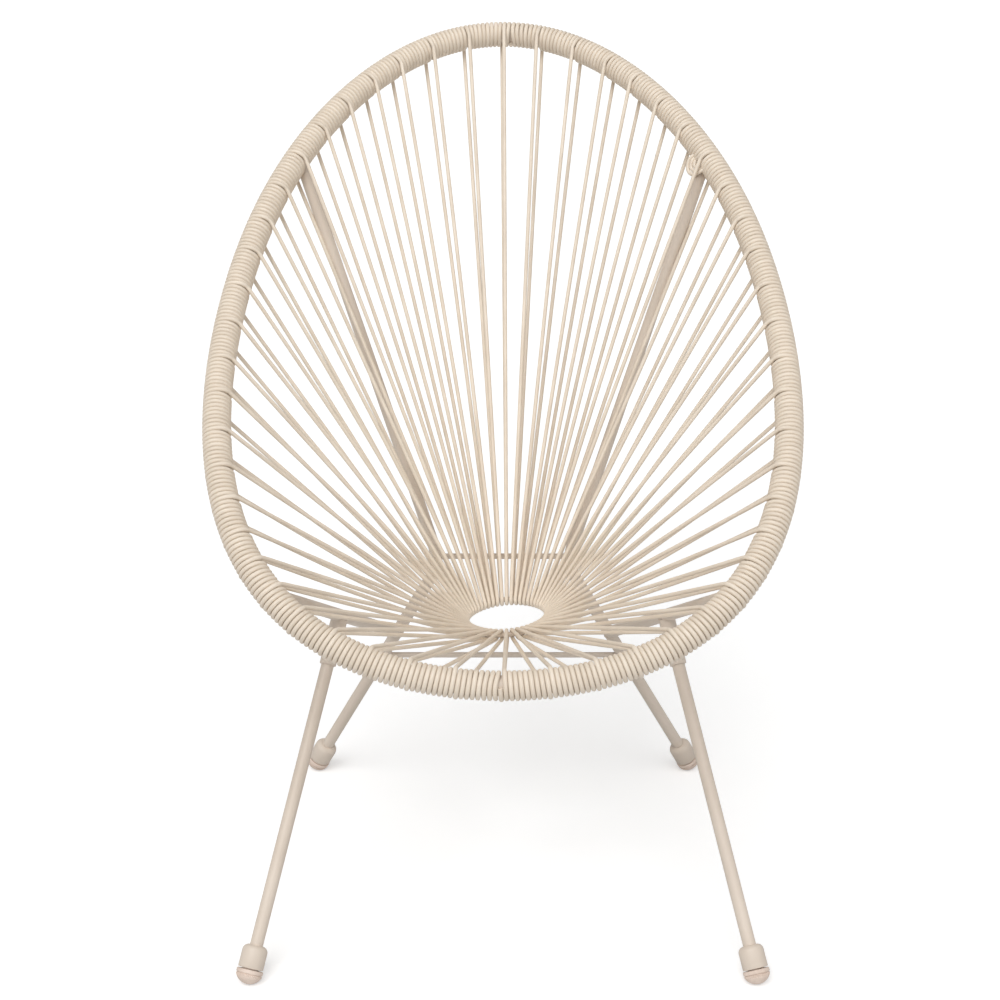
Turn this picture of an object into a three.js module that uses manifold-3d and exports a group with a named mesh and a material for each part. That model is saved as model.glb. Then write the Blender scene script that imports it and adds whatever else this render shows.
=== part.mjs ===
import * as THREE from 'three';
import { mergeVertices } from 'three/addons/utils/BufferGeometryUtils.js';
import Module from 'manifold-3d';

// An acapulco chair: an egg-shaped steel hoop wrapped in cord, with the same cord laced from the hoop
// to a small ring at the lowest part of the seat, on a welded tube frame with four splayed legs.
// Millimetres, +Z up, +Y to the back, the sitter's right hand at -X. Left and right are as seen from the front.

// Clearance between pieces that are welded, pushed or wound together
const fit = 0.3;

// Rim hoop. Each coordinate of its centreline is a sum of waves of one turn round the hoop, counted from
// the top centre: sideways only sines, backwards and upwards a mean value and cosines.
const rimTubeDiameter = 22;
const rimSideWaves = [338, -17.5, 18.4];
const rimMeanBack = 358.3;
const rimBackWaves = [394.2, 20.4, 11.6, 15.3];
const rimMeanHeight = 653.7;
const rimHeightWaves = [251.9, -4.9, 12.1, 0.5];

// Centre ring that gathers the lacing, hung below the rim's mean height. The cords pull it a little off the
// middle and out of level.
const ringRadius = 52.5;
const ringWireDiameter = 6;
const ringSide = 4.5;
const ringBack = 290;
const ringDrop = 339.9;
const ringTilt = THREE.MathUtils.degToRad(3);
const ringRoll = THREE.MathUtils.degToRad(5);

// Cord, and how it is wound and laced. It is pulled thinner where it spans the seat. A pair of strands leaves
// the rim at each station. The stations are moved along the rim from an even spacing by a sum of sine
// waves of one turn round it, and on the ring the strands stand a little closer at the back.
const cordDiameter = 5.3;
const strandDiameter = 4.7;
const windingTurns = 468;
const stationCount = 52;
const stationWaves = [47.9, -4.7, -8.8, 5.8, -3.5];
const ringCrowdingShare = 0.04;
const ribDepth = 1.7;
const strandRoot = 9;
const lengthsPerCord = 7;

// Frame tubes, and the rods that tie the two sides together, counted from the ring and from the tubes' bends
const tubeDiameter = 15;
const tubeBendRadius = 50;
const crossRodDiameter = 7.2;
const upperRodRise = 25;
const lowerRodDrop = 144;

// Rear frame tube: from the rim down to its bend behind the ring, then out to the rear foot
const stayRimShare = 0.1417;
const bendSide = 79;
const bendBack = 403.5;
const bendRise = 18;
const rearFootSide = 246;
const rearFootBack = 462;

// Side strut from the rim to the rear leg below its bend, and the front leg under the strut's middle
const strutRimShare = 0.3945;
const strutRearDrop = 108;
const legStrutShare = 0.506;
const frontFootSide = 285.3;
const sleeveDiameter = 19.6;
const sleeveReach = 60;
const sleeveStart = 5;

// Vent hole in the strut's inner side, counted from the leg towards the rim
const ventReach = 29;
const ventDiameter = 3.2;

// Foot: a ferrule welded on the leg's end, with a domed glide pressed into it from below
const ferruleDiameter = 29;
const ferruleBody = 19.3;
const ferruleShoulder = 7;
const ferruleChamfer = 0.6;
const ferruleSocketDepth = 12;
const glideDiameter = 30.4;
const glideDomeHeight = 10.5;
const glideFlatDepth = 1.4;
const glideGrooveHeight = 1.2;
const glideGrooveDepth = 1.4;
const glideBandHeight = 4.6;
const glideNeckHeight = 1.3;
const glideNeckDiameter = 20;

// How finely round shapes are divided
const tubeSides = 12;
const turnedSides = 16;
const wrapSides = 8;
const strandSides = 5;
const ringSides = 8;
const ringSteps = 26;
const bendSteps = 5;
const hairpinSteps = 3;
const domeSteps = 5;
const shoulderSteps = 4;
const ribsPerStation = 2;
const gapSteps = 60;

const wasm = await Module();
wasm.setup();

const paint = { color: 0xd9c9b4, roughness: 0.45, metalness: 0.1 };
const cordPlastic = { color: 0xdccbb3, roughness: 0.5, metalness: 0 };
const glidePlastic = { color: 0xdcc3b2, roughness: 0.6, metalness: 0 };

const up = new THREE.Vector3(0, 0, 1);
const point = (x, y, z) => new THREE.Vector3(x, y, z);

// A closed surface as a solid that can be joined and cut
function solidOf(geometry) {
  const plain = geometry.clone();
  plain.deleteAttribute('normal');
  plain.deleteAttribute('uv');
  const merged = mergeVertices(plain);
  return new wasm.Manifold(new wasm.Mesh({
    numProp: 3,
    vertProperties: merged.attributes.position.array,
    triVerts: Uint32Array.from(merged.index.array),
  }));
}

// The surface of a solid
function geometryOf(solid) {
  const mesh = solid.getMesh();
  const geometry = new THREE.BufferGeometry();
  geometry.setAttribute('position', new THREE.BufferAttribute(mesh.vertProperties, 3));
  geometry.setIndex(new THREE.BufferAttribute(mesh.triVerts, 1));
  return geometry;
}

function cut(geometry, cutters) {
  let solid = solidOf(geometry);
  for (const cutter of cutters) solid = solid.subtract(solidOf(cutter));
  return geometryOf(solid);
}

// Rings with equally many points, joined in order: the last ring meets the first again, or both ends are capped
function joinRings(rings, closed) {
  const sides = rings[0].length;
  const index = [];
  const joints = closed ? rings.length : rings.length - 1;
  for (let ring = 0; ring < joints; ring++) {
    const next = (ring + 1) % rings.length;
    for (let side = 0; side < sides; side++) {
      const beside = (side + 1) % sides;
      const [a, b] = [ring * sides + side, ring * sides + beside];
      const [c, d] = [next * sides + side, next * sides + beside];
      index.push(a, b, d, a, d, c);
    }
  }
  if (!closed) {
    const last = (rings.length - 1) * sides;
    for (let side = 2; side < sides; side++) {
      index.push(0, side, side - 1);
      index.push(last, last + side - 1, last + side);
    }
  }
  const geometry = new THREE.BufferGeometry().setFromPoints(rings.flat());
  geometry.setIndex(index);
  return geometry;
}

// Points round a centre, counted from the outward direction
function sectionRing(centre, outward, across, radius, sides) {
  return Array.from({ length: sides }, (_, side) => {
    const angle = side / sides * 2 * Math.PI;
    return centre.clone()
      .addScaledVector(outward, radius * Math.cos(angle))
      .addScaledVector(across, radius * Math.sin(angle));
  });
}

function roundShape(radius, sides) {
  const corners = Array.from({ length: sides }, (_, side) => {
    const angle = side / sides * 2 * Math.PI;
    return new THREE.Vector2(radius * Math.cos(angle), radius * Math.sin(angle));
  });
  return new THREE.Shape(corners);
}

// A straight bar between two points
function bar(from, to, radius) {
  const path = new THREE.LineCurve3(from, to);
  return new THREE.ExtrudeGeometry(roundShape(radius, tubeSides), { steps: 1, extrudePath: path });
}

// A turned piece: its profile is given as radius and height pairs, and stands along Z
function turned(profile, sides) {
  const outline = profile.map(([radius, height]) => new THREE.Vector2(radius, height));
  return new THREE.LatheGeometry(outline, sides).rotateX(Math.PI / 2);
}

function sumOfWaves(waves, wave, turn) {
  return waves.reduce((total, reach, index) => total + reach * wave((index + 1) * turn), 0);
}

// Rim: the hoop's centreline as a closed curve, and the places that follow from it
class RimCurve extends THREE.Curve {
  constructor() {
    super();
    this.arcLengthDivisions = 8 * stationCount;
  }

  getPoint(t) {
    const turn = 2 * Math.PI * t;
    return point(
      sumOfWaves(rimSideWaves, Math.sin, turn),
      rimMeanBack + sumOfWaves(rimBackWaves, Math.cos, turn),
      rimMeanHeight + sumOfWaves(rimHeightWaves, Math.cos, turn),
    );
  }
}

const rim = new RimCurve();
const mirrored = (side, v) => point(side * v.x, v.y, v.z);

// A share of the way round the rim from the top centre, down the left side (-1) or the right side (1)
function rimPoint(side, share) {
  return mirrored(side, rim.getPointAt(THREE.MathUtils.euclideanModulo(share, 1)));
}

function rimTangent(side, share) {
  return mirrored(side, rim.getTangentAt(THREE.MathUtils.euclideanModulo(share, 1)));
}

// A station's place as a share of the way round the rim, at a whole turn of the winding
function stationShare(station) {
  const shift = sumOfWaves(stationWaves, Math.sin, 2 * Math.PI * station / stationCount);
  return Math.round(windingTurns * (station / stationCount + shift / rim.getLength())) / windingTurns;
}

function ringAngle(station) {
  const turn = 2 * Math.PI * station / stationCount;
  return turn - ringCrowdingShare * Math.sin(turn);
}

// The point of the ring's wire that a station's strands go round, and the wire's direction there
const ringHeight = rimMeanHeight - ringDrop;
const ringCentre = point(ringSide, ringBack, ringHeight);
const ringTurn = new THREE.Euler(-ringTilt, -ringRoll, 0);

function ringPoint(side, station) {
  const angle = ringAngle(station);
  return point(side * ringRadius * Math.sin(angle), ringRadius * Math.cos(angle), 0)
    .applyEuler(ringTurn)
    .add(ringCentre);
}

function ringTangent(side, station) {
  const angle = ringAngle(station);
  return point(side * Math.cos(angle), -Math.sin(angle), 0).applyEuler(ringTurn);
}

function strandDirection(side, station) {
  return ringPoint(side, station).sub(rimPoint(side, stationShare(station))).normalize();
}

// The direction square to a strand and to the rim or the ring's wire, on the sitter's side
function sitterward(side, direction, tangent) {
  return direction.clone().cross(tangent).multiplyScalar(side).normalize();
}

// A ring of points round the rim at a station, the first of them towards the sitter
function rimRing(side, station, radius, shift = 0) {
  const share = stationShare(station);
  const tangent = rimTangent(side, share);
  const outward = sitterward(side, strandDirection(side, station), tangent);
  const across = tangent.clone().cross(outward);
  const centre = rimPoint(side, share).addScaledVector(tangent, shift);
  return sectionRing(centre, outward, across, radius, wrapSides);
}

function rimHoop(radius) {
  const rings = Array.from({ length: stationCount }, (_, station) => rimRing(1, station + 0.5, radius));
  return joinRings(rings, true);
}

const rimTubeRadius = rimTubeDiameter / 2;
const rimCutter = rimHoop(rimTubeRadius + fit);

// Centre ring: a closed hoop of round bar
function centreRing() {
  return new THREE.TorusGeometry(ringRadius, ringWireDiameter / 2, ringSides, ringSteps);
}

// Cord. Each side's cord is wound along its half of the rim. At each station it leaves the winding on the
// sitter's side, runs down to the ring, turns back under the wire and returns behind the rim, where
// it is wound on to the next station.
const strandRadius = strandDiameter / 2;
const strandOffset = rimTubeRadius + fit + cordDiameter / 2;
const hairpinRadius = (ringWireDiameter / 2 + fit + strandRadius) / Math.sqrt(Math.cos(Math.PI / 2 / hairpinSteps));

function hairpinRings(side, station) {
  const share = stationShare(station);
  const direction = strandDirection(side, station);
  const rimNormal = sitterward(side, direction, rimTangent(side, share));
  const rimAcross = direction.clone().cross(rimNormal);
  const ringNormal = sitterward(side, direction, ringTangent(side, station));
  const ringAcross = direction.clone().cross(ringNormal);
  const root = (face) => rimPoint(side, share - face / windingTurns / 2)
    .addScaledVector(rimNormal, face * strandOffset)
    .addScaledVector(direction, strandRoot);
  const turn = Array.from({ length: hairpinSteps + 1 }, (_, step) => {
    const angle = step / hairpinSteps * Math.PI;
    const outward = ringNormal.clone().multiplyScalar(Math.cos(angle)).addScaledVector(direction, Math.sin(angle));
    const centre = ringPoint(side, station).addScaledVector(outward, hairpinRadius);
    return sectionRing(centre, outward, ringAcross, strandRadius, strandSides);
  });
  return [
    sectionRing(root(1), rimNormal, rimAcross, strandRadius, strandSides),
    ...turn,
    sectionRing(root(-1), rimNormal.clone().negate(), rimAcross, strandRadius, strandSides),
  ];
}

// The winding between two stations as a sleeve round the rim tube: one rib stands for a few turns of cord
const wrapRadius = (rimTubeRadius + cordDiameter) / Math.cos(Math.PI / wrapSides);
const boreRadius = (rimTubeRadius + fit) / Math.cos(Math.PI / wrapSides);

function windingSleeve(side, firstStation, lastStation) {
  const [start, end] = [firstStation - 0.5, lastStation + 0.5];
  const ribs = (end - start) * ribsPerStation;
  const shiftAt = (station) => (station === start ? fit / 2 : station === end ? -fit / 2 : 0);
  const rings = [];
  for (let half = 0; half <= 2 * ribs; half++) {
    const station = start + half / (2 * ribsPerStation);
    const radius = half % 2 === 0 ? wrapRadius : wrapRadius - ribDepth;
    rings.push(rimRing(side, station, radius, shiftAt(station)));
  }
  for (let station = end; station >= start; station--) {
    rings.push(rimRing(side, station, boreRadius, shiftAt(station)));
  }
  return joinRings(rings, true);
}

function cordLength(side, firstStation, lastStation, cutters) {
  let solid = solidOf(windingSleeve(side, firstStation, lastStation));
  for (const cutter of cutters) solid = solid.subtract(solidOf(cutter));
  for (let station = firstStation; station <= lastStation; station++) {
    solid = solid.add(solidOf(joinRings(hairpinRings(side, station), false)));
  }
  return geometryOf(solid);
}

// The least distance between the surfaces of two neighbouring stations' strands, measured between points
// along their centrelines
function leastStrandGap() {
  const middles = (side, station) => {
    const ends = hairpinRings(side, station).map((ring) => {
      return ring.reduce((sum, corner) => sum.add(corner), point(0, 0, 0)).divideScalar(strandSides);
    });
    return ends.slice(1).flatMap((end, index) => {
      return new THREE.LineCurve3(ends[index], end).getPoints(gapSteps);
    });
  };
  let least = Infinity;
  for (const side of [-1, 1]) {
    for (let station = 0; station < stationCount / 2; station++) {
      for (const here of middles(side, station)) {
        for (const beside of middles(side, station + 1)) least = Math.min(least, here.distanceTo(beside));
      }
    }
  }
  return least - strandDiameter;
}

// A tube bent once, as a path whose steps gather in the bend
class BentPath extends THREE.Curve {
  constructor(from, corner, to) {
    super();
    const [back, ahead] = [from.clone().sub(corner).normalize(), to.clone().sub(corner).normalize()];
    const opening = back.angleTo(ahead);
    const run = tubeBendRadius / Math.tan(opening / 2);
    this.bend = Math.PI - opening;
    this.ends = [from, to];
    this.tangentPoints = [back, ahead].map((way) => corner.clone().addScaledVector(way, run));
    const middle = back.clone().add(ahead).normalize();
    this.centre = corner.clone().addScaledVector(middle, tubeBendRadius / Math.sin(opening / 2));
  }

  getUtoTmapping(share) {
    return share;
  }

  getPoint(t) {
    const place = t * (bendSteps + 2);
    const [first, last] = this.tangentPoints;
    if (place < 1) return this.ends[0].clone().lerp(first, place);
    if (place > bendSteps + 1) return last.clone().lerp(this.ends[1], place - bendSteps - 1);
    const share = (place - 1) / bendSteps;
    return this.centre.clone()
      .addScaledVector(first.clone().sub(this.centre), Math.sin((1 - share) * this.bend) / Math.sin(this.bend))
      .addScaledVector(last.clone().sub(this.centre), Math.sin(share * this.bend) / Math.sin(this.bend));
  }
}

// Places in the frame. The dome of each glide is part of a ball, and each leg's axis goes through the ball's centre.
const tubeRadius = tubeDiameter / 2;
const glideRadius = glideDiameter / 2;
const ballRadius = (glideRadius ** 2 + glideDomeHeight ** 2) / (2 * glideDomeHeight);
const ballHeight = ballRadius - glideFlatDepth;
const bendHeight = ringHeight + bendRise;
const stayTop = (side) => rimPoint(side, stayRimShare);
const bendCorner = (side) => point(side * bendSide, bendBack, bendHeight);
const rearBall = (side) => point(side * rearFootSide, rearFootBack, ballHeight);
const frontBall = (side) => point(side * frontFootSide, 0, ballHeight);

function atHeight(from, to, height) {
  return from.clone().lerp(to, (height - from.z) / (to.z - from.z));
}

const strutTop = (side) => rimPoint(side, strutRimShare);
const strutEnd = (side) => atHeight(bendCorner(side), rearBall(side), bendHeight - strutRearDrop);
const legTop = (side) => strutTop(side).lerp(strutEnd(side), legStrutShare);

// Heights in a foot, counted along the leg from the centre of the dome's ball
const domeBase = glideDomeHeight - ballRadius;
const bandBase = domeBase + glideGrooveHeight;
const bandTop = bandBase + glideBandHeight;
const ferruleBase = bandTop + glideNeckHeight;
const socketTop = ferruleBase + ferruleSocketDepth;
const tubeEnd = socketTop + fit;

// Rear frame: one tube a side, coped to the rim at its top
function rearFramePath(side) {
  const foot = rearBall(side);
  const corner = bendCorner(side);
  const way = corner.clone().sub(foot).normalize();
  return new BentPath(stayTop(side), corner, foot.addScaledVector(way, tubeEnd));
}

function rearFrameTube(side, radius) {
  const settings = { steps: bendSteps + 2, extrudePath: rearFramePath(side) };
  return new THREE.ExtrudeGeometry(roundShape(radius, tubeSides), settings);
}

const strutTube = (side, radius) => bar(strutTop(side), strutEnd(side), radius);

function crossRod(height) {
  const ends = [-1, 1].map((side) => {
    const places = rearFramePath(side).getPoints(bendSteps + 2);
    const below = places.findIndex((place) => place.z < height);
    return atHeight(places[below - 1], places[below], height);
  });
  const cutters = [-1, 1].map((side) => rearFrameTube(side, tubeRadius + fit));
  return cut(bar(ends[0], ends[1], crossRodDiameter / 2), cutters);
}

// A group whose Z runs up along a leg from the centre of the dome's ball
function legFrame(ball, top) {
  const frame = new THREE.Group();
  frame.position.copy(ball);
  frame.quaternion.setFromUnitVectors(up, top.clone().sub(ball).normalize());
  frame.updateMatrix();
  return frame;
}

const inside = (frame, geometry) => geometry.applyMatrix4(frame.matrix.clone().invert());

function ferrule() {
  const outer = ferruleDiameter / 2;
  const tubeHole = tubeRadius + fit;
  const socket = glideNeckDiameter / 2 + fit;
  const bodyTop = ferruleBase + ferruleBody;
  const shoulder = new THREE.QuadraticBezierCurve(
    new THREE.Vector2(outer, bodyTop),
    new THREE.Vector2(outer, bodyTop + ferruleShoulder),
    new THREE.Vector2(tubeHole, bodyTop + ferruleShoulder),
  );
  return turned([
    [socket, ferruleBase],
    [outer - ferruleChamfer, ferruleBase],
    [outer, ferruleBase + ferruleChamfer],
    ...shoulder.getPoints(shoulderSteps).map((place) => [place.x, place.y]),
    [tubeHole, socketTop],
    [socket, socketTop],
    [socket, ferruleBase],
  ], turnedSides);
}

// The glide's dome is worn flat where it stands on the floor
function glide(frame) {
  const neck = glideNeckDiameter / 2;
  const groove = glideRadius - glideGrooveDepth;
  const halfAngle = Math.acos(-domeBase / ballRadius);
  const dome = Array.from({ length: domeSteps + 1 }, (_, step) => {
    const angle = step / domeSteps * halfAngle;
    return [ballRadius * Math.sin(angle), -ballRadius * Math.cos(angle)];
  });
  const profile = [
    ...dome,
    [groove, domeBase],
    [groove, bandBase],
    [glideRadius, bandBase],
    [glideRadius, bandTop],
    [neck, bandTop],
    [neck, socketTop - fit],
    [0, socketTop - fit],
  ];
  const floor = new THREE.BoxGeometry(2 * glideDiameter, 2 * glideDiameter, glideDiameter)
    .translate(frame.position.x, frame.position.y, -glideRadius);
  return cut(turned(profile, turnedSides), [inside(frame, floor)]);
}

// Front leg: a straight tube pushed up a sleeve until it meets the strut
function frontLeg(frame, side, length) {
  const top = length - tubeRadius;
  const tube = turned([[0, tubeEnd], [tubeRadius, tubeEnd], [tubeRadius, top], [0, top]], tubeSides);
  return cut(tube, [inside(frame, strutTube(side, tubeRadius + fit))]);
}

function legSleeve(frame, side, length) {
  const [outer, bore] = [sleeveDiameter / 2, tubeRadius + fit];
  const [bottom, top] = [length - sleeveReach, length - sleeveStart];
  const profile = [[bore, bottom], [outer, bottom], [outer, top], [bore, top], [bore, bottom]];
  const strut = inside(frame, strutTube(side, tubeRadius + fit));
  return cut(turned(profile, turnedSides), [strut]);
}

// The strut's vent hole, level and square to the strut
function ventHole(side) {
  const way = strutTop(side).sub(legTop(side)).normalize();
  const inward = way.clone().cross(up).multiplyScalar(-side).normalize();
  const middle = legTop(side).addScaledVector(way, ventReach);
  return bar(middle, middle.clone().addScaledVector(inward, tubeDiameter), ventDiameter / 2);
}

// Putting the pieces together
const chair = new THREE.Group();

function place(parent, name, geometry, look) {
  const mesh = new THREE.Mesh(geometry, new THREE.MeshStandardMaterial(look));
  mesh.name = name;
  parent.add(mesh);
  return mesh;
}

function addFoot(frame, name) {
  place(frame, `ferrule_${name}`, ferrule(), paint);
  place(frame, `glide_${name}`, glide(frame), glidePlastic);
}

function addFrontLeg(side, name) {
  const frame = legFrame(frontBall(side), legTop(side));
  const length = frontBall(side).distanceTo(legTop(side));
  addFoot(frame, `front_${name}`);
  place(frame, `front_leg_${name}`, frontLeg(frame, side, length), paint);
  place(frame, `leg_sleeve_${name}`, legSleeve(frame, side, length), paint);
  chair.add(frame);
}

function addRearLeg(side, name) {
  const frame = legFrame(rearBall(side), bendCorner(side));
  addFoot(frame, `rear_${name}`);
  chair.add(frame);
  place(chair, `rear_frame_${name}`, cut(rearFrameTube(side, tubeRadius), [rimCutter]), paint);
}

function addStrut(side, name) {
  const cutters = [rimCutter, rearFrameTube(side, tubeRadius + fit), ventHole(side)];
  place(chair, `side_strut_${name}`, cut(strutTube(side, tubeRadius), cutters), paint);
}

// Each cord laces half of the stations: the left one from the top centre, the right one to the bottom centre
function addCord(side, name, firstStation) {
  const cutters = [rearFrameTube(side, tubeRadius + fit), strutTube(side, tubeRadius + fit)];
  const startOf = (length) => firstStation + Math.round(stationCount / 2 * length / lengthsPerCord);
  for (let length = 0; length < lengthsPerCord; length++) {
    const geometry = cordLength(side, startOf(length), startOf(length + 1) - 1, cutters);
    place(chair, `cord_${name}_${length + 1}`, geometry, cordPlastic);
  }
}

place(chair, 'rim_tube', rimHoop(rimTubeRadius), paint);
const ring = place(chair, 'centre_ring', centreRing(), paint);
ring.position.copy(ringCentre);
ring.rotation.copy(ringTurn);
for (const [side, name] of [[-1, 'left'], [1, 'right']]) {
  addRearLeg(side, name);
  addStrut(side, name);
  addFrontLeg(side, name);
}
place(chair, 'upper_cross_rod', crossRod(ringHeight + upperRodRise), paint);
place(chair, 'lower_cross_rod', crossRod(bendHeight - lowerRodDrop), paint);
addCord(-1, 'left', 0);
addCord(1, 'right', 1);
console.log('least gap between neighbouring strands', leastStrandGap().toFixed(2), 'mm');

// The origin is on the floor, midway between the chair's front and back and between its sides
const extent = new THREE.Box3().setFromObject(chair);
chair.position.y = -(extent.min.y + extent.max.y) / 2;

export default chair;
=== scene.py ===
import math
from bisect import bisect_right
from functools import partial
from itertools import accumulate

import bpy
from mathutils import Matrix, Vector


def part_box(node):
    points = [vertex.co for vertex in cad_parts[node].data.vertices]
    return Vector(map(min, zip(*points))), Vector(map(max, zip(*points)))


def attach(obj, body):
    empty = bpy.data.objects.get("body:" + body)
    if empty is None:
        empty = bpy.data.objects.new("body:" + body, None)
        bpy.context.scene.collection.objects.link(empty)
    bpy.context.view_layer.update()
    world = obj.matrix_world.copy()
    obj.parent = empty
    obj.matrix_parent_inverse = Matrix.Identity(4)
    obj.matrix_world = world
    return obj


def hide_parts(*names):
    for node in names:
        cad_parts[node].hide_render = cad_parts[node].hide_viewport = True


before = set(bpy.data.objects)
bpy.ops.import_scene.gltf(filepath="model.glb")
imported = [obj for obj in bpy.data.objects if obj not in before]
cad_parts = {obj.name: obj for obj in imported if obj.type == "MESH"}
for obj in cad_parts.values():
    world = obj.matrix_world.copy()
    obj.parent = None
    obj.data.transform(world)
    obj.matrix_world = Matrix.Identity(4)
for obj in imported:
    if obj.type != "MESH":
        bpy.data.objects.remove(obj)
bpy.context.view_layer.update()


# Rim hoop
# One round steel tube, rolled to an egg shape, bent forwards along the seat's edge and welded into a closed
# hoop. It carries the whole seat, and nearly all of it disappears under the wound cord.
rim_tube_diameter = 0.022
rim_side_waves = (0.338, -0.0175, 0.0184)
rim_mean_back = 0.3583
rim_back_waves = (0.3942, 0.0204, 0.0116, 0.0153)
rim_mean_height = 0.6537
rim_height_waves = (0.2519, -0.0049, 0.0121, 0.0005)
rim_steps = 416
rim_sides = 32
hoop_divisions = 8000

# Places are measured back from the front feet. The ring's box says where those stand in the frame.
ring_back = 0.29
ring_low, ring_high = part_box("centre_ring")
to_origin = (ring_low[1] + ring_high[1]) / 2 - ring_back


def sum_of_waves(reaches, wave, turn):
    return sum(reach * wave((count + 1) * turn) for count, reach in enumerate(reaches))


def hoop_place(turn):
    """The hoop's centreline on the right, by the angle travelled round it from the top centre."""
    side = sum_of_waves(rim_side_waves, math.sin, turn)
    back = rim_mean_back + to_origin + sum_of_waves(rim_back_waves, math.cos, turn)
    return Vector((side, back, rim_mean_height + sum_of_waves(rim_height_waves, math.cos, turn)))


# Even steps of the angle, and the length travelled to each, so that a share of the length finds its place.
hoop_marks = [hoop_place(math.tau * mark / hoop_divisions) for mark in range(hoop_divisions + 1)]
hoop_runs = [0, *accumulate((b - a).length for a, b in zip(hoop_marks, hoop_marks[1:]))]
rim_length = hoop_runs[-1]


def hoop_turn(share):
    """The angle at a share of the hoop's length."""
    run = share % 1 * rim_length
    mark = bisect_right(hoop_runs, run) - 1
    beyond = (run - hoop_runs[mark]) / (hoop_runs[mark + 1] - hoop_runs[mark])
    return math.tau * (mark + beyond) / hoop_divisions


def mirrored(side, place):
    return Vector((side * place.x, place.y, place.z))


def rim_point(side, share):
    return mirrored(side, hoop_place(hoop_turn(share)))


def colour(red, green, blue):
    """A colour written as on a paint card, 0 to 255, in the linear values that shaders take."""
    def linear(level):
        level /= 255
        return level / 12.92 if level <= 0.04045 else ((level + 0.055) / 1.055) ** 2.4
    return (linear(red), linear(green), linear(blue), 1)


def new_material(name, roughness):
    material = bpy.data.materials.new(name)
    material.use_nodes = True
    nodes = material.node_tree.nodes
    shader = nodes["Principled BSDF"]
    shader.inputs["Roughness"].default_value = roughness
    return material, nodes, material.node_tree.links, shader


def noise(nodes, links, place, scale, detail):
    """A soft noise through the piece, so many times to the metre."""
    node = nodes.new("ShaderNodeTexNoise")
    node.inputs["Scale"].default_value = scale
    node.inputs["Detail"].default_value = detail
    links.new(place, node.inputs["Vector"])
    return node.outputs["Fac"]


def tinted(nodes, links, factor, low, high):
    """A colour between two, each given with the factor's value at which it is reached."""
    ramp = nodes.new("ShaderNodeValToRGB")
    for element, (value, tint) in zip(ramp.color_ramp.elements, (low, high)):
        element.position = value
        element.color = tint
    links.new(factor, ramp.inputs["Fac"])
    return ramp.outputs["Color"]


def bump(nodes, links, height, distance):
    """Unevenness of the surface, this deep where the height is 1."""
    node = nodes.new("ShaderNodeBump")
    node.inputs["Distance"].default_value = distance
    links.new(height, node.inputs["Height"])
    return node.outputs["Normal"]


def powder_coat():
    """Baked powder paint: a fine orange peel, and a slightly thicker, paler coat here and there."""
    material, nodes, links, shader = new_material("sand powder coat", roughness=0.42)
    shader.inputs["Specular IOR Level"].default_value = 0.42
    place = nodes.new("ShaderNodeTexCoord").outputs["Object"]
    coat = noise(nodes, links, place, scale=9, detail=4)
    tint = tinted(nodes, links, coat, (0.32, colour(213, 199, 184)), (0.7, colour(224, 211, 197)))
    links.new(tint, shader.inputs["Base Color"])
    peel = noise(nodes, links, place, scale=620, detail=1.5)
    links.new(bump(nodes, links, peel, distance=0.00012), shader.inputs["Normal"])
    return material


def new_tree(name, sizes):
    """An empty Geometry Nodes tree with one named input for each size and for the material."""
    tree = bpy.data.node_groups.new(name, "GeometryNodeTree")
    tree.interface.new_socket("Geometry", in_out="INPUT", socket_type="NodeSocketGeometry")
    for size, kind in sizes.items():
        tree.interface.new_socket(size, in_out="INPUT", socket_type=kind)
    tree.interface.new_socket("Material", in_out="INPUT", socket_type="NodeSocketMaterial")
    tree.interface.new_socket("Geometry", in_out="OUTPUT", socket_type="NodeSocketGeometry")
    return tree, tree.nodes.new("NodeGroupInput"), tree.nodes.new("NodeGroupOutput")


def arithmetic(nodes, links, operation, *values):
    """One sum in a node tree, of other nodes' values and plain numbers."""
    node = nodes.new("ShaderNodeMath")
    node.operation = operation
    for socket, value in zip(node.inputs, values):
        if isinstance(value, (int, float)):
            socket.default_value = value
        else:
            links.new(value, socket)
    return node.outputs[0]


def finish_tree(tree, given, result, geometry):
    """Smooth shading, real geometry and the material, at the end of every tree."""
    smooth = tree.nodes.new("GeometryNodeSetShadeSmooth")
    realize = tree.nodes.new("GeometryNodeRealizeInstances")
    finish = tree.nodes.new("GeometryNodeSetMaterial")
    tree.links.new(geometry, smooth.inputs["Geometry"])
    tree.links.new(smooth.outputs["Geometry"], realize.inputs["Geometry"])
    tree.links.new(realize.outputs["Geometry"], finish.inputs["Geometry"])
    tree.links.new(given.outputs["Material"], finish.inputs["Material"])
    tree.links.new(finish.outputs["Geometry"], result.inputs["Geometry"])


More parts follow.
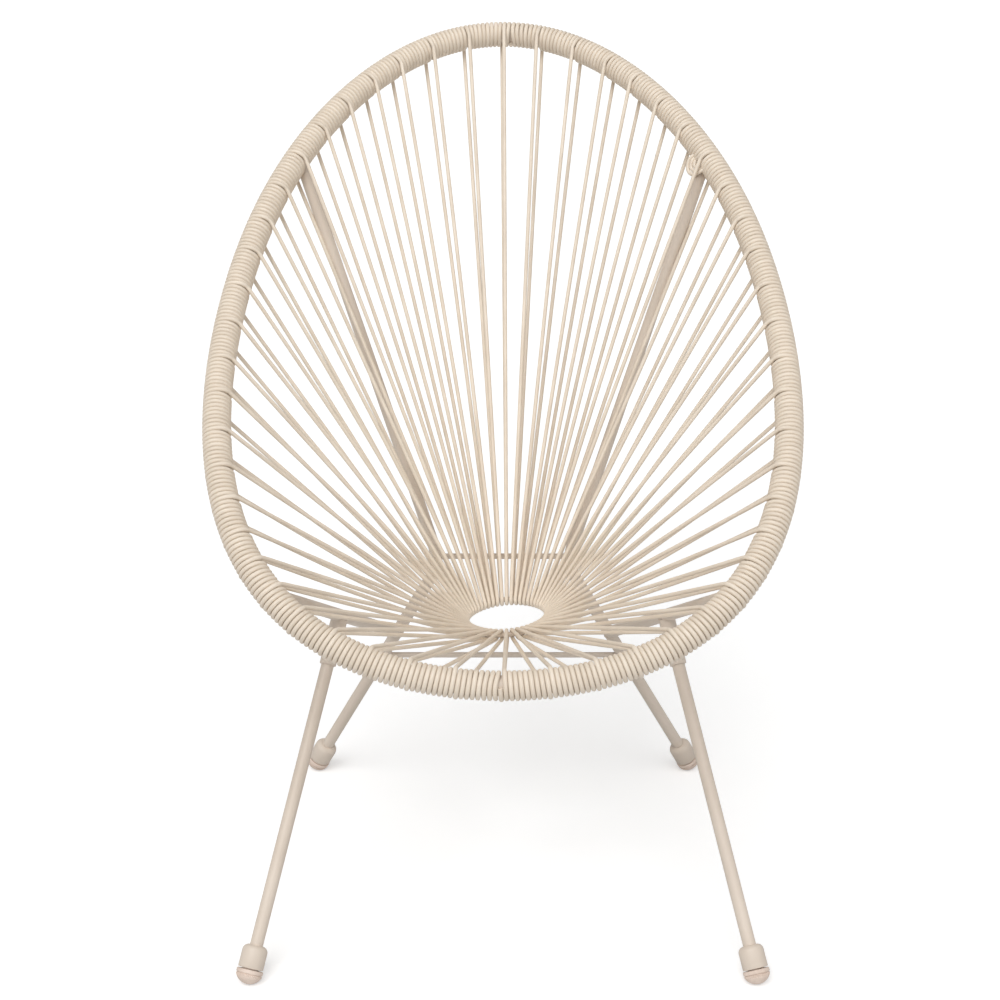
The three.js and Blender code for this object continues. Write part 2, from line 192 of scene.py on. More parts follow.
def round_bar_tree():
    """Round bar, tube or cord along a drawn path, thinner where the path's attribute "pull" says so.

    The distance along the path is kept on the mesh as "run", for materials that follow it.
    """
    tree, given, result = new_tree("round bar along a path", {
        "Diameter": "NodeSocketFloat",
        "Pulled Diameter": "NodeSocketFloat",
        "Sides": "NodeSocketInt",
    })
    nodes, links = tree.nodes, tree.links
    sum_node = partial(arithmetic, nodes, links)
    path = nodes.new("GeometryNodeMeshToCurve")
    links.new(given.outputs["Geometry"], path.inputs["Mesh"])
    pull = nodes.new("GeometryNodeInputNamedAttribute")
    pull.data_type = "FLOAT"
    pull.inputs["Name"].default_value = "pull"
    thinner = sum_node("SUBTRACT", given.outputs["Pulled Diameter"], given.outputs["Diameter"])
    radius = sum_node("MULTIPLY_ADD", thinner, pull.outputs["Attribute"], given.outputs["Diameter"])
    spline = nodes.new("GeometryNodeSplineParameter")
    run = nodes.new("GeometryNodeCaptureAttribute")
    run.capture_items.new("FLOAT", "Run")
    links.new(path.outputs["Curve"], run.inputs["Geometry"])
    links.new(spline.outputs["Length"], run.inputs["Run"])
    section = nodes.new("GeometryNodeCurvePrimitiveCircle")
    links.new(given.outputs["Sides"], section.inputs["Resolution"])
    section.inputs["Radius"].default_value = 1
    sweep = nodes.new("GeometryNodeCurveToMesh")
    sweep.inputs["Fill Caps"].default_value = True
    links.new(run.outputs["Geometry"], sweep.inputs["Curve"])
    links.new(section.outputs["Curve"], sweep.inputs["Profile Curve"])
    links.new(sum_node("MULTIPLY", radius, 0.5), sweep.inputs["Scale"])
    keep = nodes.new("GeometryNodeStoreNamedAttribute")
    keep.data_type = "FLOAT"
    keep.domain = "POINT"
    keep.inputs["Name"].default_value = "run"
    links.new(sweep.outputs["Mesh"], keep.inputs["Geometry"])
    links.new(run.outputs["Run"], keep.inputs["Value"])
    finish_tree(tree, given, result, keep.outputs["Geometry"])
    return tree


def drawn_path(name, points, closed=False):
    """A line of points for a tree to work along."""
    mesh = bpy.data.meshes.new(name)
    edges = [(place, place + 1) for place in range(len(points) - 1)]
    if closed:
        edges.append((len(points) - 1, 0))
    mesh.from_pydata(points, edges, [])
    path = bpy.data.objects.new(name, mesh)
    bpy.context.scene.collection.objects.link(path)
    return path


def made_by(tree, piece, sizes):
    """The piece as the plain mesh that the tree makes of it with these sizes."""
    modifier = piece.modifiers.new(tree.name, "NODES")
    modifier.node_group = tree
    for socket in tree.interface.items_tree:
        if socket.in_out == "INPUT" and socket.name in sizes:
            modifier[socket.identifier] = sizes[socket.name]
    graph = bpy.context.evaluated_depsgraph_get()
    seen = piece.evaluated_get(graph)
    mesh = bpy.data.meshes.new_from_object(seen, preserve_all_data_layers=True, depsgraph=graph)
    piece.modifiers.remove(modifier)
    piece.data = mesh
    return piece


def fixed(piece, slot, *nodes):
    """The piece rides on the chair and stands for CAD nodes, which it hides. The slot is not used."""
    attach(piece, "root")
    if nodes:
        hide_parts(*nodes)


paint = powder_coat()
round_bar = round_bar_tree()


def bar_along(name, points, diameter, sides, closed=False):
    sizes = {"Diameter": diameter, "Pulled Diameter": diameter, "Sides": sides, "Material": paint}
    return made_by(round_bar, drawn_path(name, points, closed), sizes)


def painted_bar(name, points, diameter, sides, *nodes, closed=False):
    fixed(bar_along(name, points, diameter, sides, closed), "frame_paint", *nodes)


rim_course = [rim_point(1, step / rim_steps) for step in range(rim_steps)]
painted_bar("rim_hoop", rim_course, rim_tube_diameter, rim_sides, "rim_tube", closed=True)


# Centre ring
# A small closed hoop of steel bar at the lowest part of the seat. Every strand of the lacing goes round it,
# and the pull of the strands is all that holds it, a little off the middle and out of level.
ring_radius = 0.0525
ring_wire = 0.006
ring_side = 0.0045
ring_height = 0.3138
ring_tilt = math.radians(3)
ring_roll = math.radians(5)
ring_steps = 120
ring_sides = 20

ring_turn = Matrix.Rotation(-ring_tilt, 3, "X") @ Matrix.Rotation(-ring_roll, 3, "Y")
ring_centre = Vector((ring_side, ring_back + to_origin, ring_height))


def ring_place(side, angle):
    return ring_centre + ring_turn @ Vector((side * math.sin(angle), math.cos(angle), 0)) * ring_radius


ring_course = [ring_place(1, math.tau * step / ring_steps) for step in range(ring_steps)]
painted_bar("lacing_ring", ring_course, ring_wire, ring_sides, "centre_ring", closed=True)


# Rear frame tubes
# On each side one steel tube runs from a weld behind the rim down to a bend under the ring, and then out to
# the rear foot. The two are mirror images, cold bent on the same former.
tube_diameter = 0.015
bend_radius = 0.05
bend_steps = 24
stay_share = 0.1417
bend_side, bend_back, bend_height = 0.079, 0.4035, 0.3318
rear_foot_side, rear_foot_back = 0.246, 0.462
foot_tube_end = 0.0136
tube_sides = 32
sides = ((-1, "left"), (1, "right"))

# A foot is placed by the centre of its glide's ball, this high above the floor.
ball_height = 0.01485


def from_front(side, across, back, height):
    return Vector((side * across, back + to_origin, height))


def stay_top(side):
    return rim_point(side, stay_share)


def bend_corner(side):
    return from_front(side, bend_side, bend_back, bend_height)


def rear_foot(side):
    return from_front(side, rear_foot_side, rear_foot_back, ball_height)


def toward(start, end, distance):
    return start + (end - start).normalized() * distance


def rear_tube_course(side):
    """The tube's centreline: two straight runs and the arc of its bend between them."""
    start, corner, end = stay_top(side), bend_corner(side), rear_foot(side)
    back, ahead = (start - corner).normalized(), (end - corner).normalized()
    opening = back.angle(ahead)
    middle = corner + (back + ahead).normalized() * bend_radius / math.sin(opening / 2)
    run = bend_radius / math.tan(opening / 2)
    first, last = (corner + way * run - middle for way in (back, ahead))
    arc = [middle + first.slerp(last, step / bend_steps) * bend_radius for step in range(bend_steps + 1)]
    return [start, *arc, toward(end, corner, foot_tube_end)]


for side, name in sides:
    painted_bar(f"rear_tube_{name}", rear_tube_course(side), tube_diameter, tube_sides, f"rear_frame_{name}")


# Side struts
# A straight tube on each side from the rim's front corner down to the rear leg, coped and welded at both
# ends. The front leg stands under its middle, and a small vent hole is drilled in its inner side.
strut_share = 0.3945
strut_rear_height = 0.2238
leg_strut_share = 0.506
vent_reach = 0.029
vent_diameter = 0.0032
vent_depth = 0.003
vent_sides = 24
sharp_angle = math.radians(38)


def at_height(start, end, height):
    return start.lerp(end, (height - start.z) / (end.z - start.z))


def strut_top(side):
    return rim_point(side, strut_share)


def strut_end(side):
    return at_height(bend_corner(side), rear_foot(side), strut_rear_height)


def leg_top(side):
    return strut_top(side).lerp(strut_end(side), leg_strut_share)


def drill(piece, centre, way, diameter, depth):
    """Sinks a blind hole along way into the point centre of the piece's surface."""
    bit = bar_along("drill", [centre + way * depth, centre - way * depth], diameter, vent_sides)
    hole = piece.modifiers.new("vent", "BOOLEAN")
    hole.object = bit
    graph = bpy.context.evaluated_depsgraph_get()
    mesh = bpy.data.meshes.new_from_object(piece.evaluated_get(graph), depsgraph=graph)
    piece.modifiers.remove(hole)
    bpy.data.objects.remove(bit)
    mesh.set_sharp_from_angle(angle=sharp_angle)
    piece.data = mesh


for side, name in sides:
    ends = [strut_top(side), strut_end(side)]
    strut = bar_along(f"strut_{name}", ends, tube_diameter, tube_sides)
    along = (ends[0] - ends[1]).normalized()
    outward = along.cross(Vector((0, 0, 1))).normalized() * side
    vent = leg_top(side) + along * vent_reach - outward * tube_diameter / 2
    drill(strut, vent, outward, vent_diameter, vent_depth)
    fixed(strut, "frame_paint", f"side_strut_{name}")


# Cross rods
# Two thin solid rods tie the rear tubes together, one above the bends and one below them. Their ends are
# butted on the tubes and welded.
rod_diameter = 0.0072
upper_rod_height = 0.3388
lower_rod_height = 0.1878
rod_sides = 20


def rod_seats(height):
    """For each side, the short run of the rear tube's centreline that passes this height."""
    seats = []
    for side, _ in sides:
        course = rear_tube_course(side)
        below = next(index for index, place in enumerate(course) if place.z < height)
        seats.append((course[below - 1], course[below]))
    return seats


def rod_ends(height):
    return [at_height(above, below, height) for above, below in rod_seats(height)]


painted_bar("upper_rod", rod_ends(upper_rod_height), rod_diameter, rod_sides, "upper_cross_rod")
painted_bar("lower_rod", rod_ends(lower_rod_height), rod_diameter, rod_sides, "lower_cross_rod")


# Weld beads
# Where a strut, a rod or a sleeve is butted on another tube, a small hand-laid bead runs all round its foot.
# The beads are painted over with the frame, and their ripples still show.
bead_diameter = 0.0026
bead_ripple = 0.0021
ripple_share = 0.12
bead_steps = 72
bead_sides = 10


def weld_bead_tree():
    """A bead along a closed path, thicker and thinner at every ripple."""
    tree, given, result = new_tree("weld bead", {"Diameter": "NodeSocketFloat", "Ripple": "NodeSocketFloat"})
    nodes, links = tree.nodes, tree.links
    sum_node = partial(arithmetic, nodes, links)
    path = nodes.new("GeometryNodeMeshToCurve")
    links.new(given.outputs["Geometry"], path.inputs["Mesh"])
    spline = nodes.new("GeometryNodeSplineParameter")
    turns = sum_node("DIVIDE", spline.outputs["Length"], given.outputs["Ripple"])
    wave = sum_node("SINE", sum_node("MULTIPLY", turns, math.tau))
    section = nodes.new("GeometryNodeCurvePrimitiveCircle")
    section.inputs["Resolution"].default_value = bead_sides
    links.new(sum_node("MULTIPLY", given.outputs["Diameter"], 0.5), section.inputs["Radius"])
    sweep = nodes.new("GeometryNodeCurveToMesh")
    links.new(path.outputs["Curve"], sweep.inputs["Curve"])
    links.new(section.outputs["Curve"], sweep.inputs["Profile Curve"])
    links.new(sum_node("MULTIPLY_ADD", wave, ripple_share, 1), sweep.inputs["Scale"])
    finish_tree(tree, given, result, sweep.outputs["Mesh"])
    return tree


bead_tree = weld_bead_tree()


def where_tubes_meet(start, way, radius, other_start, other_way, other_radius):
    """The closed line where a tube from start, along way, first touches another tube's outside."""
    across = way.cross(other_way).normalized()
    along = across.cross(way)
    slant = way - other_way * way.dot(other_way)
    line = []
    for step in range(bead_steps):
        angle = math.tau * step / bead_steps
        from_axis = max(-1, min(1, radius * math.cos(angle) / other_radius)) * other_radius
        ray = start + across * from_axis + along * radius * math.sin(angle)
        offset = (ray - other_start) - other_way * (ray - other_start).dot(other_way)
        nearing = -offset.dot(slant)
        outside = offset.length_squared - other_radius ** 2
        inside_run = math.sqrt(max(0, nearing ** 2 - slant.length_squared * outside))
        line.append(ray + way * (nearing - inside_run) / slant.length_squared)
    return line


def weld(name, start, end, radius, other_start, other_end, other_radius):
    way, other_way = (end - start).normalized(), (other_end - other_start).normalized()
    line = where_tubes_meet(start, way, radius, other_start, other_way, other_radius)
    sizes = {"Diameter": bead_diameter, "Ripple": bead_ripple, "Material": paint}
    fixed(made_by(bead_tree, drawn_path(name, line, closed=True), sizes), "frame_paint")


tube_radius = tube_diameter / 2
rod_radius = rod_diameter / 2
for side, name in sides:
    weld(f"strut_weld_{name}", strut_top(side), strut_end(side), tube_radius,
         bend_corner(side), rear_foot(side), tube_radius)
for rod, height in (("upper", upper_rod_height), ("lower", lower_rod_height)):
    ends = rod_ends(height)
    for index, (_, name) in enumerate(sides):
        weld(f"{rod}_rod_weld_{name}", ends[1 - index], ends[index], rod_radius,
             *rod_seats(height)[index], tube_radius)


# Front legs with their sleeves
# A straight tube is pushed up into a short sleeve until it meets the strut. The sleeve is welded under the
# strut and holds the leg.
front_foot_side = 0.2853
sleeve_diameter = 0.0196
sleeve_reach = 0.06
sleeve_start = 0.005
sleeve_steps = 48
edge_round = 0.0006
edge_middle = edge_round / 3


def front_foot(side):
    return from_front(side, front_foot_side, 0, ball_height)


def leg_frame(foot, top):
    """A frame with its origin at a foot, whose Z runs up along the leg."""
    turn = Vector((0, 0, 1)).rotation_difference(top - foot)
    return Matrix.Translation(foot) @ turn.to_matrix().to_4x4()


def turned(name, leg, profile, steps, material, closed=False):
    """A turned piece on a leg: radius and height pairs, where a radius may change with the angle."""
    points, faces, poles = [], [], []
    for radius, height in profile:
        at_pole = radius == 0
        poles.append(at_pole)
        row = []
        for step in range(1 if at_pole else steps):
            angle = math.tau * step / steps
            reach = radius(angle) if callable(radius) else radius
            row.append(leg @ Vector((reach * math.cos(angle), reach * math.sin(angle), height)))
        points.append(row)
    starts = [0, *accumulate(len(row) for row in points)]
    rows = len(profile) if closed else len(profile) - 1
    for row in range(rows):
        low, high = row, (row + 1) % len(profile)
        for step in range(steps):
            beside = (step + 1) % steps
            corners = [starts[low] + (0 if poles[low] else step)]
            if not poles[low]:
                corners.append(starts[low] + beside)
            corners.append(starts[high] + (0 if poles[high] else beside))
            if not poles[high]:
                corners.append(starts[high] + step)
            faces.append(corners)
    mesh = bpy.data.meshes.new(name)
    mesh.from_pydata([place for row in points for place in row], [], faces)
    mesh.shade_smooth()
    mesh.set_sharp_from_angle(angle=sharp_angle)
    mesh.materials.append(material)
    piece = bpy.data.objects.new(name, mesh)
    bpy.context.scene.collection.objects.link(piece)
    return piece


def sleeve_profile(length):
    outer, bore = sleeve_diameter / 2, tube_radius
    bottom, top = length - sleeve_reach, length - sleeve_start
    return [
        (bore, bottom),
        (outer - edge_round, bottom),
        (outer - edge_middle, bottom + edge_middle),
        (outer, bottom + edge_round),
        (outer, top - edge_round),
        (outer - edge_round, top),
        (bore, top),
    ]


for side, name in sides:
    foot, top = front_foot(side), leg_top(side)
    leg, length = leg_frame(foot, top), (top - foot).length
    tube = [toward(foot, top, foot_tube_end), toward(foot, top, length - tube_radius)]
    painted_bar(f"front_tube_{name}", tube, tube_diameter, tube_sides, f"front_leg_{name}")
    sleeve = turned(f"sleeve_{name}", leg, sleeve_profile(length), sleeve_steps, paint, closed=True)
    fixed(sleeve, "frame_paint", f"leg_sleeve_{name}")
    weld(f"sleeve_weld_{name}", foot, top, sleeve_diameter / 2, strut_top(side), strut_end(side), tube_radius)


# Feet
# A turned steel ferrule with a rounded shoulder is welded on the end of each leg. A plastic glide is pressed
# into it from below. The glide's domed sole is ridged round its edge for grip.
ferrule_diameter = 0.029
ferrule_body = 0.0193
ferrule_shoulder = 0.007
ferrule_socket = 0.008
ferrule_top_share = 0.9
glide_diameter = 0.0304
glide_dome = 0.0105
glide_groove_height = 0.0012
glide_groove_depth = 0.0014
glide_band = 0.0046
glide_neck_height = 0.0013
glide_neck_diameter = 0.02
glide_plug = 0.004
glide_ridges = 40
ridge_depth = 0.0009
ridge_height = 0.004
ridge_fullness = 0.7
foot_steps = 192
shoulder_steps = 8
dome_steps = 18

glide_radius = glide_diameter / 2
ball_radius = (glide_radius ** 2 + glide_dome ** 2) / (2 * glide_dome)
dome_base = glide_dome - ball_radius
band_base = dome_base + glide_groove_height
band_top = band_base + glide_band
ferrule_base = band_top + glide_neck_height


def ferrule_profile():
    outer, socket = ferrule_diameter / 2, glide_neck_diameter / 2
    body_top = ferrule_base + ferrule_body
    shoulder = []
    for step in range(shoulder_steps + 1):
        angle = math.pi / 2 * step / shoulder_steps
        inward = (outer - tube_radius) * (1 - math.cos(angle))
        shoulder.append((outer - inward, body_top + ferrule_shoulder * math.sin(angle)))
    return [
        (socket, ferrule_base + ferrule_socket),
        (socket, ferrule_base),
        (outer - edge_round, ferrule_base),
        (outer - edge_middle, ferrule_base + edge_middle),
        (outer, ferrule_base + edge_round),
        *shoulder,
        (tube_radius * ferrule_top_share, body_top + ferrule_shoulder),
    ]


def ridged(radius, depth):
    """A radius with upright ridges round it."""
    return lambda angle: radius - depth * (0.5 - 0.5 * math.cos(glide_ridges * angle)) ** ridge_fullness


def glide_profile():
    groove = glide_radius - glide_groove_depth
    half_angle = math.acos(-dome_base / ball_radius)
    dome = []
    for step in range(dome_steps + 1):
        angle = half_angle * step / dome_steps
        radius, height = ball_radius * math.sin(angle), -ball_radius * math.cos(angle)
        run_in = (height - dome_base + ridge_height) / (ridge_height / 2)
        depth = ridge_depth * min(1, max(0, run_in))
        dome.append((ridged(radius, depth) if depth else radius, height))
    return [
        (0, dome[0][1]),
        *dome[1:],
        (ridged(glide_radius - edge_round / 2, ridge_depth), dome_base + edge_round / 2),
        (groove, dome_base + edge_round / 2),
        (groove, band_base),
        (glide_radius - edge_round, band_base),
        (glide_radius, band_base + edge_round),
        (glide_radius, band_top - edge_round),
        (glide_radius - edge_round, band_top),
        (glide_neck_diameter / 2 - edge_round, band_top),
        (glide_neck_diameter / 2 - edge_round, ferrule_base + glide_plug),
        (0, ferrule_base + glide_plug),
    ]


def moulded_glide():
    """Moulded plastic: slightly pinker than the paint, waxy, clouded and faintly scuffed."""
    material, nodes, links, shader = new_material("moulded glide plastic", roughness=0.5)
    place = nodes.new("ShaderNodeTexCoord").outputs["Object"]
    clouds = noise(nodes, links, place, scale=60, detail=5)
    tint = tinted(nodes, links, clouds, (0.3, colour(217, 197, 182)), (0.72, colour(236, 218, 205)))
    links.new(tint, shader.inputs["Base Color"])
    scuff = noise(nodes, links, place, scale=900, detail=3)
    links.new(bump(nodes, links, scuff, distance=0.00008), shader.inputs["Normal"])
    return material


glide_plastic = moulded_glide()
for end_name, foot_of, top_of in (("front", front_foot, leg_top), ("rear", rear_foot, bend_corner)):
    for side, name in sides:
        leg = leg_frame(foot_of(side), top_of(side))
        ferrule = turned(f"ferrule_ring_{end_name}_{name}", leg, ferrule_profile(), foot_steps // 2, paint)
        fixed(ferrule, "frame_paint", f"ferrule_{end_name}_{name}")
        glide = turned(f"ribbed_glide_{end_name}_{name}", leg, glide_profile(), foot_steps, glide_plastic)
        # The dome's lowest part is flat, where the glide stands on the floor.
        for vertex in glide.data.vertices:
            vertex.co.z = max(vertex.co.z, 0)
        fixed(glide, "glide_plastic", f"glide_{end_name}_{name}")


# Cords
# One long extruded cord on each side is wound round its half of the rim. Every few turns it runs down to the
# ring, round its wire and back behind the rim, where the winding goes on. Across the seat it is pulled
# thinner, and its first and last turns lie beside the other cord's.
cord_diameter = 0.0053
strand_diameter = 0.0047
cord_sides = 12
winding_turns = 468
station_count = 52
station_waves = (0.0479, -0.0047, -0.0088, 0.0058, -0.0035)
ring_crowding = 0.04
steps_per_turn = 22
winding_slack = 0.00005
corner_lead = 0.004
corner_steps = 4
hairpin_steps = 10
leaving_lift = 0.0026
arriving_lift = 0.001
lift_turns = 0.16
joint_spread = 0.06
left_first_turn, left_last_turn = -1.25, 233.25
right_first_turn, right_last_turn = 2.25, 234.75
drawn_over_turns = 0.4
drawn_over_reach = 6
quarter_turn, half_turn = 0.25, 0.5
little_turn = 1e-4
spare_stations = 2
lengths_per_cord = 7

cord_radius = cord_diameter / 2
wound_radius = rim_tube_diameter / 2 + cord_radius + winding_slack
hairpin_radius = ring_wire / 2 + strand_diameter / 2 + winding_slack
beside_tube = tube_radius + cord_radius + winding_slack


def turns_to(station):
    """Whole turns of the winding from the top centre to a station, or to a place between two."""
    even = station / station_count
    shift = sum_of_waves(station_waves, math.sin, math.tau * even)
    return round(winding_turns * (even + shift / rim_length))


stations_on_one_side = range(-spare_stations, station_count // 2 + spare_stations + 1)
turns_at_stations = [turns_to(station) for station in stations_on_one_side]


def station_at(turns):
    """The station, whole or in between, that so many turns reach."""
    passed = bisect_right(turns_at_stations, turns) - 1
    here, beyond = turns_at_stations[passed:passed + 2]
    return stations_on_one_side[passed] + (turns - here) / (beyond - here)


def ring_angle(station):
    turn = math.tau * station / station_count
    return turn - ring_crowding * math.sin(turn)


def rim_tangent(side, share):
    turn = hoop_turn(share)
    return mirrored(side, hoop_place(turn + little_turn) - hoop_place(turn - little_turn)).normalized()


def ring_tangent(side, angle):
    return (ring_place(side, angle + little_turn) - ring_place(side, angle - little_turn)).normalized()


def sitterward(side, way, tangent):
    """The direction square to a strand and to what it leaves or goes round, on the sitter's side."""
    return (way.cross(tangent) * side).normalized()


def tube_joints(side):
    """Where each frame tube comes out of the winding: its share of the rim, and its way square to the rim."""
    joints = []
    for share, end in ((stay_share, bend_corner(side)), (strut_share, strut_end(side))):
        way = (end - rim_point(side, share)).normalized()
        tangent = rim_tangent(side, share)
        square = way - tangent * way.dot(tangent)
        slide = wound_radius * way.dot(tangent) / square.length
        joints.append((share + slide / rim_length, square.normalized()))
    return joints


def faded(distance, reach):
    """From 1 at no distance softly down to 0 at the reach and beyond it."""
    return math.cos(min(1, abs(distance) / reach) * math.pi / 2) ** 2


def drawn_over(side, turns):
    """How many turns a cord is drawn over to the other one: the right at the top, the left at the bottom."""
    apart = turns - right_first_turn if side > 0 else left_last_turn - turns
    return -side * drawn_over_turns * math.cos(math.tau * turns) ** 2 * faded(apart, drawn_over_reach)


def wound_place(side, turns, joints, lift):
    """The cord's centre so many turns from the top centre, on the sitter's side of the rim at whole turns.

    A strand pair leaves the winding a quarter turn before its station and arrives a quarter turn after it.
    """
    share = (turns - quarter_turn + drawn_over(side, turns)) / winding_turns
    rim_at, ring_at = rim_point(side, share), ring_place(side, ring_angle(station_at(turns)))
    tangent = rim_tangent(side, share)
    front = sitterward(side, ring_at - rim_at, tangent)
    inner = ring_at - rim_at
    inner = (inner - tangent * inner.dot(tangent)).normalized()
    angle = math.tau * turns
    outward = front * math.cos(angle) + inner * math.sin(angle)
    # Turns beside a frame tube are pushed along the rim, and lie closer there than the cord is thick.
    shift = 0
    for joint_share, way in joints:
        distance = (share - joint_share) * rim_length
        beside = math.copysign(math.hypot(distance, beside_tube), distance) - distance
        shift += beside * max(0, outward.dot(way)) ** 2 * faded(distance, joint_spread)
    return rim_at + outward * (wound_radius + lift) + tangent * shift


def winding(side, first_turn, last_turn, joints, first_lift, last_lift):
    """The wound cord between two turns, lifted off its neighbours where it comes from or goes to a strand."""
    steps = round((last_turn - first_turn) * steps_per_turn)
    places = []
    for step in range(steps + 1):
        turn = first_turn + (last_turn - first_turn) * step / steps
        arriving = first_lift * faded(turn - first_turn, lift_turns)
        leaving = last_lift * faded(last_turn - turn, lift_turns)
        places.append(wound_place(side, turn, joints, arriving + leaving))
    return places


def eased_corner(start, corner, end):
    """Points of a soft corner between two straight runs."""
    points = []
    for step in range(1, corner_steps + 1):
        share = step / corner_steps
        points.append(start.lerp(corner, share).lerp(corner.lerp(end, share), share))
    return points


def hairpin(side, station, leave, arrive):
    """From the winding down to the ring, round its wire, and back up to the winding."""
    share = turns_to(station) / winding_turns
    round_ring = ring_angle(station)
    rim_at, ring_at = rim_point(side, share), ring_place(side, round_ring)
    way = (ring_at - rim_at).normalized()
    tangent = rim_tangent(side, share)
    inner = (way - tangent * way.dot(tangent)).normalized()
    ring_front = sitterward(side, way, ring_tangent(side, round_ring))
    loop = []
    for step in range(hairpin_steps + 1):
        angle = math.pi * step / hairpin_steps
        loop.append(ring_at + (ring_front * math.cos(angle) + way * math.sin(angle)) * hairpin_radius)
    down_corner, up_corner = (end + inner * corner_lead for end in (leave, arrive))
    down = eased_corner(leave, down_corner, toward(down_corner, loop[0], corner_lead))
    up = eased_corner(toward(up_corner, loop[-1], corner_lead), up_corner, arrive)
    return [*down, *loop, toward(up_corner, loop[-1], corner_lead), *up[:-1]]


def cord_course(side, first_station, first_turn, last_turn):
    """The whole course of one cord, and how far it is pulled at each point, from 0 to 1."""
    joints = tube_joints(side)
    turn, first_lift = first_turn, 0
    course, pulls = [], []
    for station in range(first_station, first_station + station_count // 2):
        wound = winding(side, turn, turns_to(station), joints, first_lift, leaving_lift)
        turn, first_lift = turns_to(station) + half_turn, arriving_lift
        spanning = hairpin(side, station, wound[-1], wound_place(side, turn, joints, first_lift))
        course += wound + spanning
        pulls += [0] * len(wound) + [1] * len(spanning)
    wound = winding(side, turn, last_turn, joints, first_lift, 0)
    return course + wound, pulls + [0] * len(wound)


def cord_plastic():
    """Extruded plastic cord: satin, with a finely matt skin and a tone that drifts along its length."""
    material, nodes, links, shader = new_material("extruded sand cord", roughness=0.44)
    shader.inputs["Specular IOR Level"].default_value = 0.4
    run = nodes.new("ShaderNodeAttribute")
    run.attribute_name = "run"
    drift = nodes.new("ShaderNodeTexNoise")
    drift.noise_dimensions = "1D"
    drift.inputs["Scale"].default_value = 14
    drift.inputs["Detail"].default_value = 3
    links.new(run.outputs["Fac"], drift.inputs["W"])
    tone = drift.outputs["Fac"]
    tint = tinted(nodes, links, tone, (0.3, colour(228, 214, 196)), (0.7, colour(238, 225, 208)))
    links.new(tint, shader.inputs["Base Color"])
    place = nodes.new("ShaderNodeTexCoord").outputs["Object"]
    skin = noise(nodes, links, place, scale=1400, detail=2)
    links.new(bump(nodes, links, skin, distance=0.00004), shader.inputs["Normal"])
    return material


cord_skin = cord_plastic()
for side, name, first_station, first_turn, last_turn in (
    (-1, "left", 0, left_first_turn, left_last_turn),
    (1, "right", 1, right_first_turn, right_last_turn),
):
    points, pulls = cord_course(side, first_station, first_turn, last_turn)
    course = drawn_path(f"seat_cord_{name}", points)
    course.data.attributes.new("pull", "FLOAT", "POINT").data.foreach_set("value", pulls)
    sizes = {"Diameter": cord_diameter, "Pulled Diameter": strand_diameter, "Sides": cord_sides}
    nodes_of_cord = [f"cord_{name}_{length + 1}" for length in range(lengths_per_cord)]
    fixed(made_by(round_bar, course, sizes | {"Material": cord_skin}), "cord", *nodes_of_cord)


# Loops over the right tube's upper end
# Three loops of the same cord, pulled thinner, lie over the front of the right rear tube where it leaves the
# rim. How the real ones join the cord can't be seen. Here both ends of each run into the winding.
loop_count = 3
loop_reach = 0.0075
loop_reach_step = 0.0052
loop_half_width = 0.0056
loop_width_step = 0.0041
loops_above_tube = 0.003
loop_tuck = 0.006
tuck_sharpness = 4
loop_stack = 0.002
loop_steps = 28


def loop_over_tube(side, order):
    """One loop, counted from the rim: out along the tube, across its front and back to the winding."""
    share, way = tube_joints(side)[0]
    rim_at, tangent = rim_point(side, share), rim_tangent(side, share)
    front = sitterward(side, way, tangent)
    front = (front - way * front.dot(way)).normalized()
    winding_edge = math.sqrt(wound_radius ** 2 - beside_tube ** 2)
    points = []
    for step in range(loop_steps + 1):
        swing = math.pi * step / loop_steps
        tucked = loop_tuck * (1 - math.sin(swing)) ** tuck_sharpness
        along = -math.cos(swing) * (loop_half_width + loop_width_step * order) - loops_above_tube
        out = winding_edge + math.sin(swing) * (loop_reach + loop_reach_step * order) - tucked
        over = beside_tube + loop_stack * order * (1 - math.sin(swing)) - tucked
        points.append(rim_at + way * out + front * over + tangent * along)
    return points


loop_sizes = {"Diameter": strand_diameter, "Sides": cord_sides, "Material": cord_skin}
for order in range(loop_count):
    loop = drawn_path(f"cord_loop_right_{order + 1}", loop_over_tube(1, order))
    fixed(made_by(round_bar, loop, loop_sizes), "cord")


# Studio
# A pale floor under soft light from all round, with one large lamp high in front on the left and a weaker
# one lower on the right. The camera stands where it stood for the photograph.
floor_reach = 12
floor_grey = 226
floor_glow = 0.4
surround_strength = 0.36
camera_back, camera_height = -1.85866, 1.40094
camera_dip = math.radians(23.5)
film_width = 36
focal_length = 72
lens_shift = -0.003


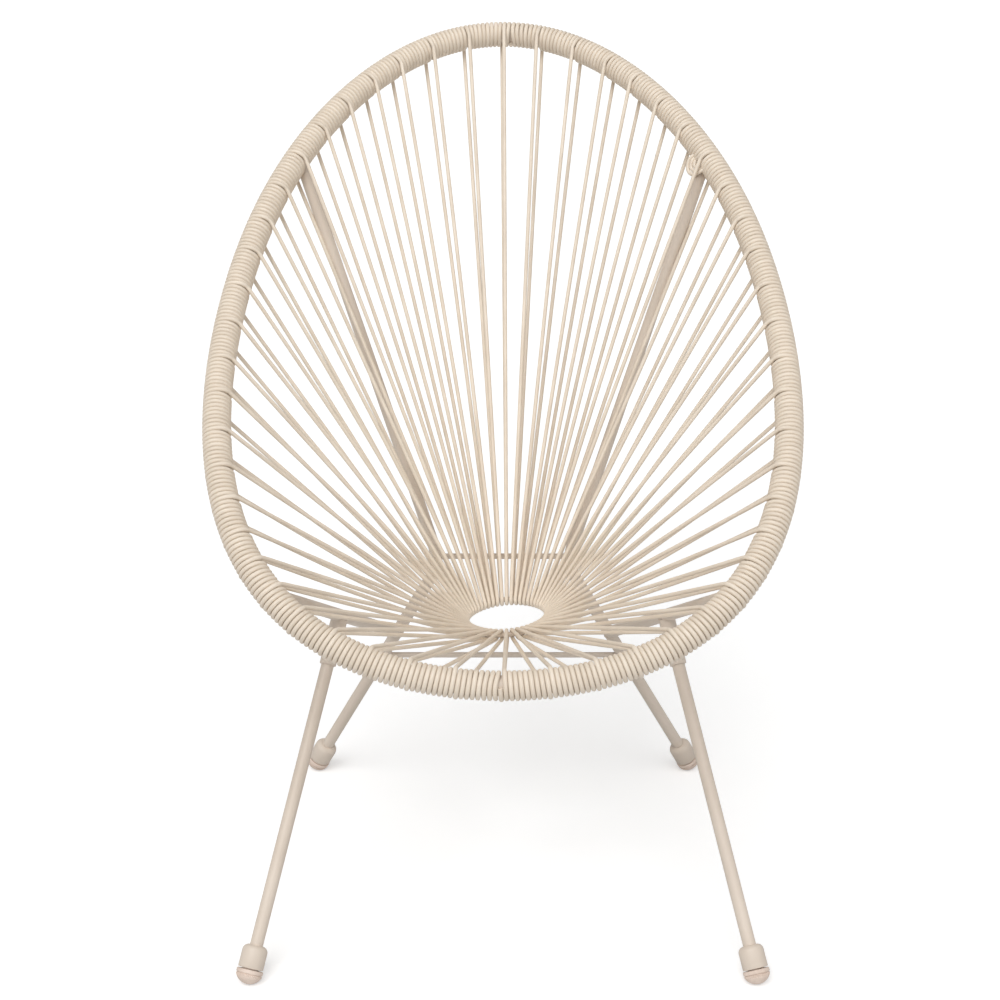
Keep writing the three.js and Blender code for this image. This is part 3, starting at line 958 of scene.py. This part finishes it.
def studio_floor():
    """A matt floor that glows a little in the camera's view, so that it comes out nearly white."""
    corners = [(-1, -1), (1, -1), (1, 1), (-1, 1)]
    mesh = bpy.data.meshes.new("studio_floor")
    mesh.from_pydata([(x * floor_reach, y * floor_reach, 0) for x, y in corners], [], [(0, 1, 2, 3)])
    material = bpy.data.materials.new("studio white")
    material.use_nodes = True
    nodes, links = material.node_tree.nodes, material.node_tree.links
    nodes.remove(nodes["Principled BSDF"])
    matt = nodes.new("ShaderNodeBsdfDiffuse")
    matt.inputs["Color"].default_value = colour(floor_grey, floor_grey, floor_grey)
    glow = nodes.new("ShaderNodeEmission")
    seen = nodes.new("ShaderNodeLightPath")
    strength = arithmetic(nodes, links, "MULTIPLY", seen.outputs["Is Camera Ray"], floor_glow)
    links.new(strength, glow.inputs["Strength"])
    both = nodes.new("ShaderNodeAddShader")
    links.new(matt.outputs[0], both.inputs[0])
    links.new(glow.outputs[0], both.inputs[1])
    links.new(both.outputs[0], nodes["Material Output"].inputs["Surface"])
    mesh.materials.append(material)
    floor = bpy.data.objects.new("studio_floor", mesh)
    bpy.context.scene.collection.objects.link(floor)


def studio_world():
    """White all round: full white where the camera sees it, and weaker as a light."""
    world = bpy.data.worlds.new("studio surround")
    bpy.context.scene.world = world
    world.use_nodes = True
    nodes, links = world.node_tree.nodes, world.node_tree.links
    surround = nodes["Background"]
    surround.inputs["Color"].default_value = colour(255, 255, 255)
    seen = nodes.new("ShaderNodeLightPath")
    strength = arithmetic(nodes, links, "MAXIMUM", seen.outputs["Is Camera Ray"], surround_strength)
    links.new(strength, surround.inputs["Strength"])


def soft_sun(name, toward_floor, spread, strength):
    """A lamp so large and far that it lights the whole floor alike, with a soft shadow."""
    lamp = bpy.data.lights.new(name, "SUN")
    lamp.angle = math.radians(spread)
    lamp.energy = strength
    sun = bpy.data.objects.new(name, lamp)
    sun.rotation_euler = Vector(toward_floor).to_track_quat("-Z", "Y").to_euler()
    bpy.context.scene.collection.objects.link(sun)


def studio_camera():
    lens = bpy.data.cameras.new("photograph")
    lens.sensor_width = film_width
    lens.lens = focal_length
    lens.shift_x = lens_shift
    camera = bpy.data.objects.new("photograph", lens)
    camera.location = (0, to_origin + camera_back, camera_height)
    camera.rotation_euler = (math.pi / 2 - camera_dip, 0, 0)
    bpy.context.scene.collection.objects.link(camera)
    bpy.context.scene.camera = camera


bpy.context.scene.view_settings.view_transform = "Standard"
studio_floor()
studio_world()
soft_sun("key_lamp", toward_floor=(0.25, 0.6, -1), spread=50, strength=1.95)
soft_sun("fill_lamp", toward_floor=(-0.9, 0.6, -0.7), spread=60, strength=0.35)
studio_camera()
